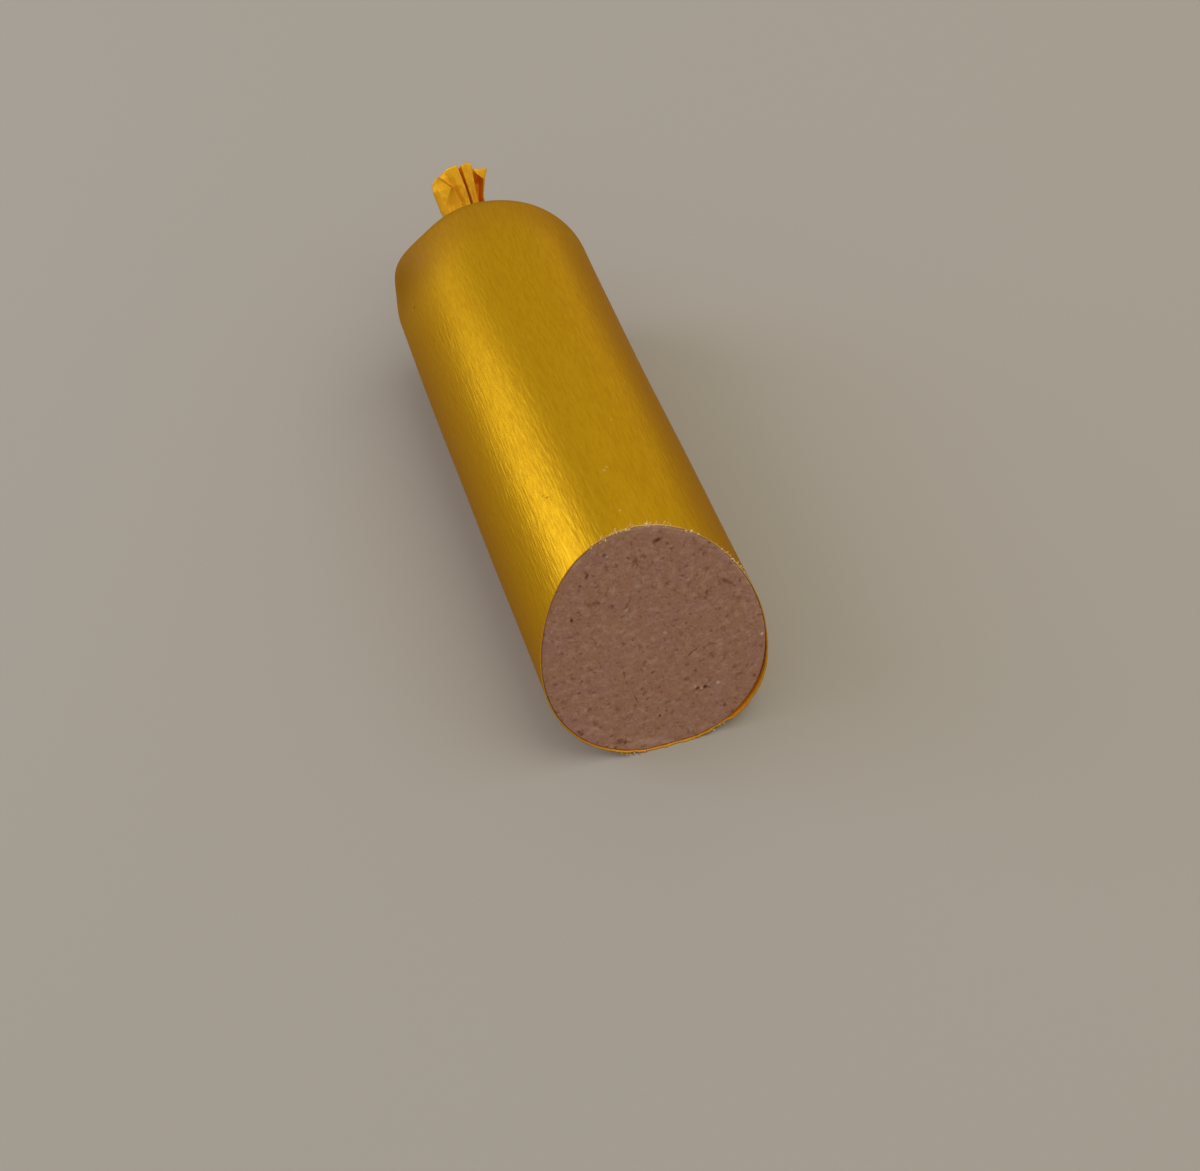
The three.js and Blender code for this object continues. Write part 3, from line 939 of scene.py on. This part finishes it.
def gold_film(finish):
    """Satin gold print on a fibrous casing, brushed along the sausage, with its lining and its paper-like edge."""
    material, tree, shader = new_material(
        "gold_film", Coat_Weight=0.1, Coat_Roughness=0.42, Coat_IOR=1.45, Specular_IOR_Level=0.03,
        Specular_Tint=(0.45, 0.2, 0.0, 1.0))
    lie = named_value(tree, "lie", "Vector")
    handled, unfilled, lining, paper = (
        named_value(tree, name) for name in ("handled", "unfilled", "lining", "paper"))
    fine = noise(tree, stretched(tree, lie, (3.4, 3.4, 0.55)), 1.0, 2.0, 0.55)
    middling = noise(tree, stretched(tree, lie, (1.7, 1.7, 0.24)), 1.0, 1.0, 0.4)
    tone = spread(tree, plus(tree, fine, middling), 0.4, 1.6)
    gold = mix_colour(tree, tone, colour(finish.shade), colour(finish.gold))
    # The rounded end's darker colour: partly wear, partly painted shade
    gold = mix_colour(tree, handled, gold, colour(finish.handled))
    # The gathered end's lighter colour: partly the bare film, partly painted light
    gold = mix_colour(tree, unfilled, gold, colour(finish.unfilled))
    height = plus(tree, times(tree, fine, 0.15), times(tree, middling, 0.85))
    height = times(tree, height, spread(tree, unfilled, 0, 1, 1.0, 2.4))
    height = times(tree, height, spread(tree, handled, 0, 1, 1.0, 0.35))
    for turned, along, size, darkness, stand in CASING_MARKS:
        at = math.radians(turned)
        middle = (MARK_RADIUS * math.cos(at), MARK_RADIUS * math.sin(at), along)
        apart = add_node(tree, "ShaderNodeVectorMath", {0: lie, 1: middle}, operation="DISTANCE").outputs["Value"]
        near = spread(tree, apart, 0.1 * size, size, 1.0, 0.0)
        tinge = colour(finish.paper) if darkness < 0 else colour(finish.lining, 0.4)
        gold = mix_colour(tree, times(tree, near, abs(darkness)), gold, tinge)
        height = plus(tree, height, times(tree, near, stand / STREAK_HEIGHT))
    gold = mix_colour(tree, lining, gold, colour(finish.lining))
    gold = mix_colour(tree, paper, gold, colour(finish.paper))
    dull = maths(tree, "MAXIMUM", paper, times(tree, lining, 0.7))
    dull = maths(tree, "MAXIMUM", dull, times(tree, unfilled, 0.25))
    metal = spread(tree, tone, 0, 1, finish.metal - 0.1, finish.metal + 0.1)
    rough = spread(tree, tone, 0, 1, finish.roughness + 0.06, finish.roughness - 0.04)
    shade(tree, shader, Base_Color=gold, Metallic=times(tree, maths(tree, "SUBTRACT", 1.0, dull), metal),
          Roughness=plus(tree, rough, times(tree, handled, 0.5)), Normal=raised(tree, height, STREAK_HEIGHT * MM))
    return material


def meat_paste(finish):
    """Fine moist meat paste: mottled brown and mauve, with dark pores and pits in painted shade, and pale fatty
    flecks, the brightest of them painted glints.
    """
    material, tree, shader = new_material(
        "meat_paste", Subsurface_Weight=0.05, Subsurface_Scale=0.0006, Subsurface_Radius=(1.0, 0.45, 0.3),
        Coat_Weight=0.03, Coat_Roughness=0.4, Specular_IOR_Level=0.28)
    where, dark, pale = own_place(tree), named_value(tree, "dark"), named_value(tree, "pale")
    cloudy = noise(tree, where, 130, 5.0, 0.6)
    mottle = noise(tree, where, 600, 4.0, 0.62)
    paler = noise(tree, stretched(tree, where, (0.8, 1.0, 1.0)), 620, 5.0, 0.75)
    speckle = noise(tree, where, 1700, 3.0, 0.7)
    base = mix_colour(tree, spread(tree, cloudy, 0.42, 0.64), colour(finish.paste), colour(finish.mauve))
    base = mix_colour(tree, spread(tree, paler, 0.48, 0.72, 0.0, 0.34), base, colour(finish.fat_and_glint))
    base = mix_colour(tree, spread(tree, mottle, 0.57, 0.7, 0.0, 0.75), base, colour(finish.fleck))
    base = mix_colour(tree, spread(tree, speckle, 0.52, 0.72, 0.0, 0.5), base, colour(finish.fleck))
    # Painted shade in the pits and pores, and the darker smudges' own colour
    base = mix_colour(tree, dark, base, colour(finish.pit_shade_and_smudge))
    # Pale fat flecks, and painted glints on the palest raised spots
    base = mix_colour(tree, pale, base, colour(finish.fat_and_glint))
    height = plus(tree, mottle, times(tree, speckle, 0.5))
    shade(tree, shader, Base_Color=base, Roughness=spread(tree, pale, 0, 1, 0.62, 0.3),
          Normal=raised(tree, height, 0.00008, 0.8))
    return material


def drawn_wire(settings):
    """Plain aluminium wire with fine drawing lines and small knocks."""
    material, tree, shader = new_material("drawn_wire", Metallic=1.0)
    where = own_place(tree)
    lines = noise(tree, stretched(tree, where, (900, 5200, 900)), 1.0, 2.0)
    knocks = noise(tree, where, 900, 3.0)
    metal = mix_colour(tree, spread(tree, knocks, 0.35, 0.65), colour(settings.metal), colour(settings.metal, 0.8))
    shade(tree, shader, Base_Color=metal, Roughness=spread(tree, lines, 0.3, 0.7, 0.28, 0.42),
          Normal=raised(tree, plus(tree, lines, knocks), 0.00005))
    return material


def frayed_fibre(settings):
    """Pale fibres of the casing's paper core."""
    material, tree, shader = new_material("frayed_fibre", Subsurface_Weight=0.3, Subsurface_Scale=0.0004)
    tint = noise(tree, own_place(tree), 700, 2.0)
    browner = colour([channel * share for channel, share in zip(settings.colour, (0.86, 0.78, 0.62))])
    fibre = mix_colour(tree, spread(tree, tint, 0.35, 0.65), colour(settings.colour), browner)
    shade(tree, shader, Base_Color=fibre, Roughness=spread(tree, tint, 0.3, 0.7, 0.5, 0.75))
    return material


def floor_finish(settings):
    return new_material("plain_floor", Base_Color=colour(settings.floor), Roughness=0.75, Specular_IOR_Level=0.2)[0]


# Geometry Nodes


def new_tree(name, sockets):
    """A geometry tree, its given values, its output node and the identifiers of its named inputs."""
    tree = bpy.data.node_groups.new(name, "GeometryNodeTree")
    tree.interface.new_socket("Geometry", in_out="INPUT", socket_type="NodeSocketGeometry")
    tree.interface.new_socket("Geometry", in_out="OUTPUT", socket_type="NodeSocketGeometry")
    names = {}
    for label, kind, default in sockets:
        socket = tree.interface.new_socket(label, in_out="INPUT", socket_type=kind)
        socket.default_value = default
        names[label] = socket.identifier
    return tree, tree.nodes.new("NodeGroupInput").outputs, tree.nodes.new("NodeGroupOutput"), names


def grown(name, line, line_values, tree, names, values):
    """Runs a tree on a guide line given in millimetres, and returns the result as a plain mesh piece."""
    edges = [(k, k + 1) for k in range(len(line) - 1)]
    piece = bpy.data.objects.new(name, new_mesh(name, line, edges, [], line_values))
    bpy.context.scene.collection.objects.link(piece)
    modifier = piece.modifiers.new("grow", "NODES")
    modifier.node_group = tree
    for label, value in values.items():
        modifier[names[label]] = value
    bpy.context.view_layer.update()
    result = bpy.data.meshes.new_from_object(piece.evaluated_get(bpy.context.evaluated_depsgraph_get()))
    piece.modifiers.clear()
    piece.data = result
    result.name = name
    if not result.polygons:
        raise RuntimeError(f"{name} came out empty")
    return piece


def swept(tree, path, given, sides):
    """A smooth closed strand along a path, as wide and as thick as the tree's inputs say."""
    size = made_by(tree, "ShaderNodeCombineXYZ", {"X": given["Width"], "Y": given["Thickness"], "Z": 1.0})
    ring = made_by(tree, "GeometryNodeCurvePrimitiveCircle", {"Resolution": sides, "Radius": 0.5})
    section = made_by(tree, "GeometryNodeTransform", {"Geometry": ring, "Scale": size})
    strand = made_by(tree, "GeometryNodeCurveToMesh", {"Curve": path, "Profile Curve": section, "Fill Caps": True})
    return made_by(tree, "GeometryNodeSetShadeSmooth", {"Geometry": strand, "Shade Smooth": True})


def dress(tree, made, result, material):
    """Ends a tree: its result becomes one mesh with its material."""
    single = made_by(tree, "GeometryNodeRealizeInstances", {"Geometry": result})
    dressed = made_by(tree, "GeometryNodeSetMaterial", {"Geometry": single, "Material": material})
    tree.links.new(dressed, made.inputs[0])


def wire_tree(material):
    """A flattened wire along a guide line."""
    tree, given, made, names = new_tree("wire_along_path", (
        ("Width", "NodeSocketFloat", 0.0024), ("Thickness", "NodeSocketFloat", 0.0015),
        ("Steps", "NodeSocketInt", 120)))
    path = made_by(tree, "GeometryNodeMeshToCurve", {"Mesh": given["Geometry"]})
    path = made_by(tree, "GeometryNodeResampleCurve", {"Curve": path, "Count": given["Steps"]})
    dress(tree, made, swept(tree, path, given, 28), material)
    return tree, names


def fibre_tree(material):
    """Fibres standing on a guide line, each bent and tapered, leaning along the guide's own outward direction."""
    tree, given, made, names = new_tree("fibres_on_rim", (
        ("Count", "NodeSocketInt", 60), ("Length", "NodeSocketFloat", 0.0015), ("Width", "NodeSocketFloat", 0.0001),
        ("Thickness", "NodeSocketFloat", 0.0001), ("Shortest", "NodeSocketFloat", 0.25),
        ("Lean", "NodeSocketFloat", 0.6), ("Seed", "NodeSocketInt", 1)))
    # A random value node takes the limits of a vector at 0 and 1, and those of a number at 2 and 3
    jitter = made_by(tree, "FunctionNodeRandomValue", {
        0: (-0.0003, -0.0003, -0.0003), 1: (0.0003, 0.0003, 0.0), "Seed": given["Seed"]}, data_type="FLOAT_VECTOR")
    stray = made_by(tree, "FunctionNodeRandomValue", {
        0: (-1, -1, -1), 1: (1, 1, 1), "Seed": given["Seed"]}, data_type="FLOAT_VECTOR")
    growth = add_node(tree, "FunctionNodeRandomValue", {
        2: given["Shortest"], 3: 1.0, "Seed": given["Seed"]}, data_type="FLOAT").outputs[1]
    path = made_by(tree, "GeometryNodeMeshToCurve", {"Mesh": given["Geometry"]})
    roots = made_by(tree, "GeometryNodeCurveToPoints", {"Curve": path, "Count": given["Count"]}, mode="COUNT")
    roots = made_by(tree, "GeometryNodeSetPosition", {"Geometry": roots, "Offset": jitter})
    outward = made_by(tree, "GeometryNodeInputNamedAttribute", {"Name": "outward"}, data_type="FLOAT_VECTOR")
    lean = made_by(tree, "ShaderNodeCombineXYZ", {"X": given["Lean"], "Y": given["Lean"], "Z": given["Lean"]})
    leaned = made_by(tree, "ShaderNodeVectorMath", {0: stray, 1: lean, 2: outward}, operation="MULTIPLY_ADD")
    stood = made_by(tree, "FunctionNodeAlignRotationToVector", {"Vector": leaned}, axis="Z")
    # The fibre is a millimetre long before it is scaled
    line = made_by(tree, "GeometryNodeCurveQuadraticBezier", {
        "Resolution": 7, "Start": (0, 0, -0.0002), "Middle": (0, 0, 0.0006), "End": (0.0004, 0.0002, 0.001)})
    taper = spread(tree, made_by(tree, "GeometryNodeSplineParameter"), 0, 1, 1.0, 0.25)
    line = made_by(tree, "GeometryNodeSetCurveRadius", {"Curve": line, "Radius": taper})
    size = times(tree, growth, times(tree, given["Length"], 1 / MM))
    standing = made_by(tree, "GeometryNodeInstanceOnPoints", {
        "Points": roots, "Instance": swept(tree, line, given, 6), "Rotation": stood, "Scale": size})
    dress(tree, made, standing, material)
    return tree, names


def rim_line(first, last, forward):
    """The casing's cut edge between two angles in degrees, and the way its fibres point."""
    angle = np.radians(np.linspace(first, last, RIM_LINE_POINTS))
    edge = barrel_row(angle, 0.0, shape().wall / MM / 2)
    outward = points(np.cos(angle) * (1 - forward), -forward, np.sin(angle) * (1 - forward))
    return edge, {"outward": outward}


# Operators


class LIVERWURST_OT_casing(bpy.types.Operator):
    """Build the gold casing with its rim, dome, gathered neck and pleated tail"""
    bl_idname = "liverwurst.casing"
    bl_label = "Casing"

    def execute(self, context):
        angle, rows, marks = casing_rows()
        flap, flap_faces = corner_flap()
        places = rows.reshape(-1, 3)
        rings = np.arange(len(places)).reshape(rows.shape[:2])
        faces = np.concatenate([grid_cells(closed_rings(rings)), flap_faces + len(places)])
        on_flap = {
            "lie": flap[:, [0, 2, 1]] * (CORNER_STRETCH, CORNER_STRETCH, 1),
            "unfilled": np.ones(len(flap)),
        }
        values = {}
        for key, value in casing_values(angle, rows, marks).items():
            on_shell = value.reshape(len(places), *value.shape[2:])
            values[key] = np.concatenate([on_shell, on_flap.get(key, np.zeros(len(flap)))])
        finish = gold_film(context.scene.liverwurst_casing)
        piece = new_piece("casing_gold", np.concatenate([places, flap]), faces, finish, values)
        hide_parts("casing")
        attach(piece, "root")
        return {"FINISHED"}


class LIVERWURST_OT_meat(bpy.types.Operator):
    """Build the meat paste with its cut face"""
    bl_idname = "liverwurst.meat"
    bl_label = "Meat"

    def execute(self, context):
        finish, inset = context.scene.liverwurst_meat, (shape().wall + shape().gap) / MM
        face, angle, dark, pale = cut_face(inset, finish)
        grid = np.arange(angle.size).reshape(angle.shape).T
        rim = grid_edge(grid)
        around = angle.ravel()[rim]
        start = cut_along(around, inset)
        rows = [skin(around, lerp(start, BARREL_END, step), inset) for step in MEAT_STEPS]
        rows += [skin(around, lerp(BARREL_END, shoulder_at(around), step), inset) for step in SHOULDER_STEPS]
        rows += [dome_row(around, reach, inset) for reach in DOME_STEPS]
        body = np.concatenate(rows)
        rings = np.concatenate([[rim], grid.size + np.arange(len(body)).reshape(len(rows), -1)])
        faces = np.concatenate([grid_cells(grid), grid_cells(closed_rings(rings).T)])
        plain = np.zeros(len(body))
        values = {key: np.concatenate([value.ravel(), plain]) for key, value in (("dark", dark), ("pale", pale))}
        places = np.concatenate([face.reshape(-1, 3), body])
        piece = new_piece("meat_paste", places, faces, meat_paste(finish), values)
        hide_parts("meat")
        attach(piece, "root")
        return {"FINISHED"}


class LIVERWURST_OT_fibres(bpy.types.Operator):
    """Add the frayed fibres and small tatters at the casing's cut edge"""
    bl_idname = "liverwurst.fibres"
    bl_label = "Rim fibres"

    def execute(self, context):
        settings = context.scene.liverwurst_fibres
        tree, names = fibre_tree(frayed_fibre(settings))
        hairs = {"Count": settings.count, "Length": settings.length, "Width": settings.width,
                 "Thickness": settings.width, "Shortest": 0.25, "Lean": 0.75, "Seed": 4}
        tatters = {"Count": 28, "Length": 0.0006, "Width": 0.0011, "Thickness": 0.0003,
                   "Shortest": 0.25, "Lean": 0.5, "Seed": 9}
        zones = (
            # name, first and last angle in degrees, how far they point forward, and the tree's inputs
            ("rim_fibres_top", (74, 108, 0.1), hairs),
            ("rim_tatters_top", (58, 112, 0.1), tatters),
            ("rim_fibres_right", (28, 46, 0.1), {**hairs, "Count": 12, "Length": 0.0009, "Seed": 6}),
            ("rim_tatters_right", (24, 46, 0.1), {**tatters, "Count": 10, "Width": 0.0007, "Seed": 8}),
            ("rim_tatters_low_right", (-67, -56, 0.6),
             {**tatters, "Count": 6, "Length": 0.0005, "Lean": 0.3, "Seed": 12}),
            ("rim_tatters_foot", (-117, -103, 0.95),
             {**tatters, "Count": 7, "Length": 0.0005, "Lean": 0.2, "Seed": 14}),
        )
        for name, reach, values in zones:
            edge, outward = rim_line(*reach)
            edge[:, 2] = np.maximum(edge[:, 2], TATTER_CLEAR)
            piece = grown(name, edge, outward, tree, names, values)
            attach(piece, "root")
        return {"FINISHED"}


class LIVERWURST_OT_clip(bpy.types.Operator):
    """Bend the flattened wire clip round the neck"""
    bl_idname = "liverwurst.clip"
    bl_label = "Clip"

    def execute(self, context):
        settings = context.scene.liverwurst_clip
        angle = np.linspace(math.radians(-90) + CLIP_OPENING, math.radians(270) - CLIP_OPENING, CLIP_STEPS)
        cosine, sine = np.cos(angle), np.sin(angle)
        reach = (np.abs(cosine) ** CLIP_SQUARENESS + np.abs(sine) ** CLIP_SQUARENESS) ** (-1 / CLIP_SQUARENESS)
        x, z = centre(np.float64(CLIP_ALONG))
        path = points(x + CLIP_HALF_WIDTH * reach * cosine, CLIP_ALONG, z + CLIP_HALF_HEIGHT * reach * sine)
        tree, names = wire_tree(drawn_wire(settings))
        piece = grown("clip_wire", path, {}, tree, names, {
            "Width": settings.width, "Thickness": settings.thickness, "Steps": CLIP_STEPS})
        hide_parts("clip")
        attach(piece, "root")
        return {"FINISHED"}


class LIVERWURST_OT_stage(bpy.types.Operator):
    """Set up the plain floor, the soft studio light and the camera"""
    bl_idname = "liverwurst.stage"
    bl_label = "Stage"

    def execute(self, context):
        settings, scene = context.scene.liverwurst_stage, context.scene
        mesh = bpy.data.meshes.new("floor")
        corners = [(x * FLOOR_HALF, y * FLOOR_HALF, 0) for x, y in ((-1, -1), (1, -1), (1, 1), (-1, 1))]
        mesh.from_pydata(corners, [], [(0, 1, 2, 3)])
        mesh.materials.append(floor_finish(settings))
        floor = bpy.data.objects.new("floor", mesh)
        scene.collection.objects.link(floor)

        world = bpy.data.worlds.new("studio")
        world.use_nodes = True
        sky = world.node_tree.nodes["Background"]
        sky.inputs["Color"].default_value = AIR_TINT
        sky.inputs["Strength"].default_value = settings.air
        scene.world = world
        scene.view_settings.view_transform = "Standard"
        for name, (hung_at, size, tint) in LIGHTS.items():
            lamp = bpy.data.lights.new(name, "AREA")
            lamp.shape, lamp.size, lamp.size_y = "RECTANGLE", *size
            lamp.energy, lamp.color = getattr(settings, name), tint
            holder = bpy.data.objects.new(name, lamp)
            holder.location = hung_at
            holder.rotation_mode = "QUATERNION"
            holder.rotation_quaternion = (Vector(LIT_PLACE) - Vector(hung_at)).to_track_quat("-Z", "Y")
            scene.collection.objects.link(holder)

        eye = bpy.data.cameras.new("eye")
        eye.lens, eye.sensor_width = settings.lens, SENSOR_WIDTH
        eye.clip_start, eye.clip_end = NEAREST, FARTHEST
        camera = bpy.data.objects.new("eye", eye)
        facing = Matrix.Rotation(EYE_HEADING, 4, "Z") @ Matrix.Rotation(math.pi / 2 - EYE_PITCH, 4, "X")
        facing = facing @ Matrix.Rotation(EYE_ROLL, 4, "Z")
        camera.matrix_world = Matrix.Translation(EYE_PLACE) @ facing
        scene.collection.objects.link(camera)
        scene.camera = camera
        return {"FINISHED"}


class LIVERWURST_PT_panel(bpy.types.Panel):
    """Sizes, finishes and build steps"""
    bl_label = "Liverwurst"
    bl_idname = "LIVERWURST_PT_panel"
    bl_space_type = "VIEW_3D"
    bl_region_type = "UI"
    bl_category = "Liverwurst"

    def draw(self, context):
        for name, group in SETTINGS.items():
            box = self.layout.box()
            box.label(text=group.__doc__)
            for key in group.__annotations__:
                box.prop(getattr(context.scene, name), key)
        for operator in OPERATORS:
            self.layout.operator(operator.bl_idname)


SETTINGS = {
    "liverwurst_shape": SausageShape,
    "liverwurst_casing": CasingFinish,
    "liverwurst_meat": MeatFinish,
    "liverwurst_fibres": FibreSettings,
    "liverwurst_clip": ClipSettings,
    "liverwurst_stage": StageSettings,
}
OPERATORS = (
    LIVERWURST_OT_casing,
    LIVERWURST_OT_meat,
    LIVERWURST_OT_fibres,
    LIVERWURST_OT_clip,
    LIVERWURST_OT_stage,
)


def register():
    for name, group in SETTINGS.items():
        bpy.utils.register_class(group)
        setattr(bpy.types.Scene, name, PointerProperty(type=group))
    for item in (*OPERATORS, LIVERWURST_PT_panel):
        bpy.utils.register_class(item)


def unregister():
    for item in (LIVERWURST_PT_panel, *reversed(OPERATORS)):
        bpy.utils.unregister_class(item)
    for name, group in reversed(SETTINGS.items()):
        delattr(bpy.types.Scene, name)
        bpy.utils.unregister_class(group)


def main():
    register()
    bpy.ops.liverwurst.casing()
    bpy.ops.liverwurst.meat()
    bpy.ops.liverwurst.fibres()
    bpy.ops.liverwurst.clip()
    bpy.ops.liverwurst.stage()
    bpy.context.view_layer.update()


if __name__ == "__main__":
    main()
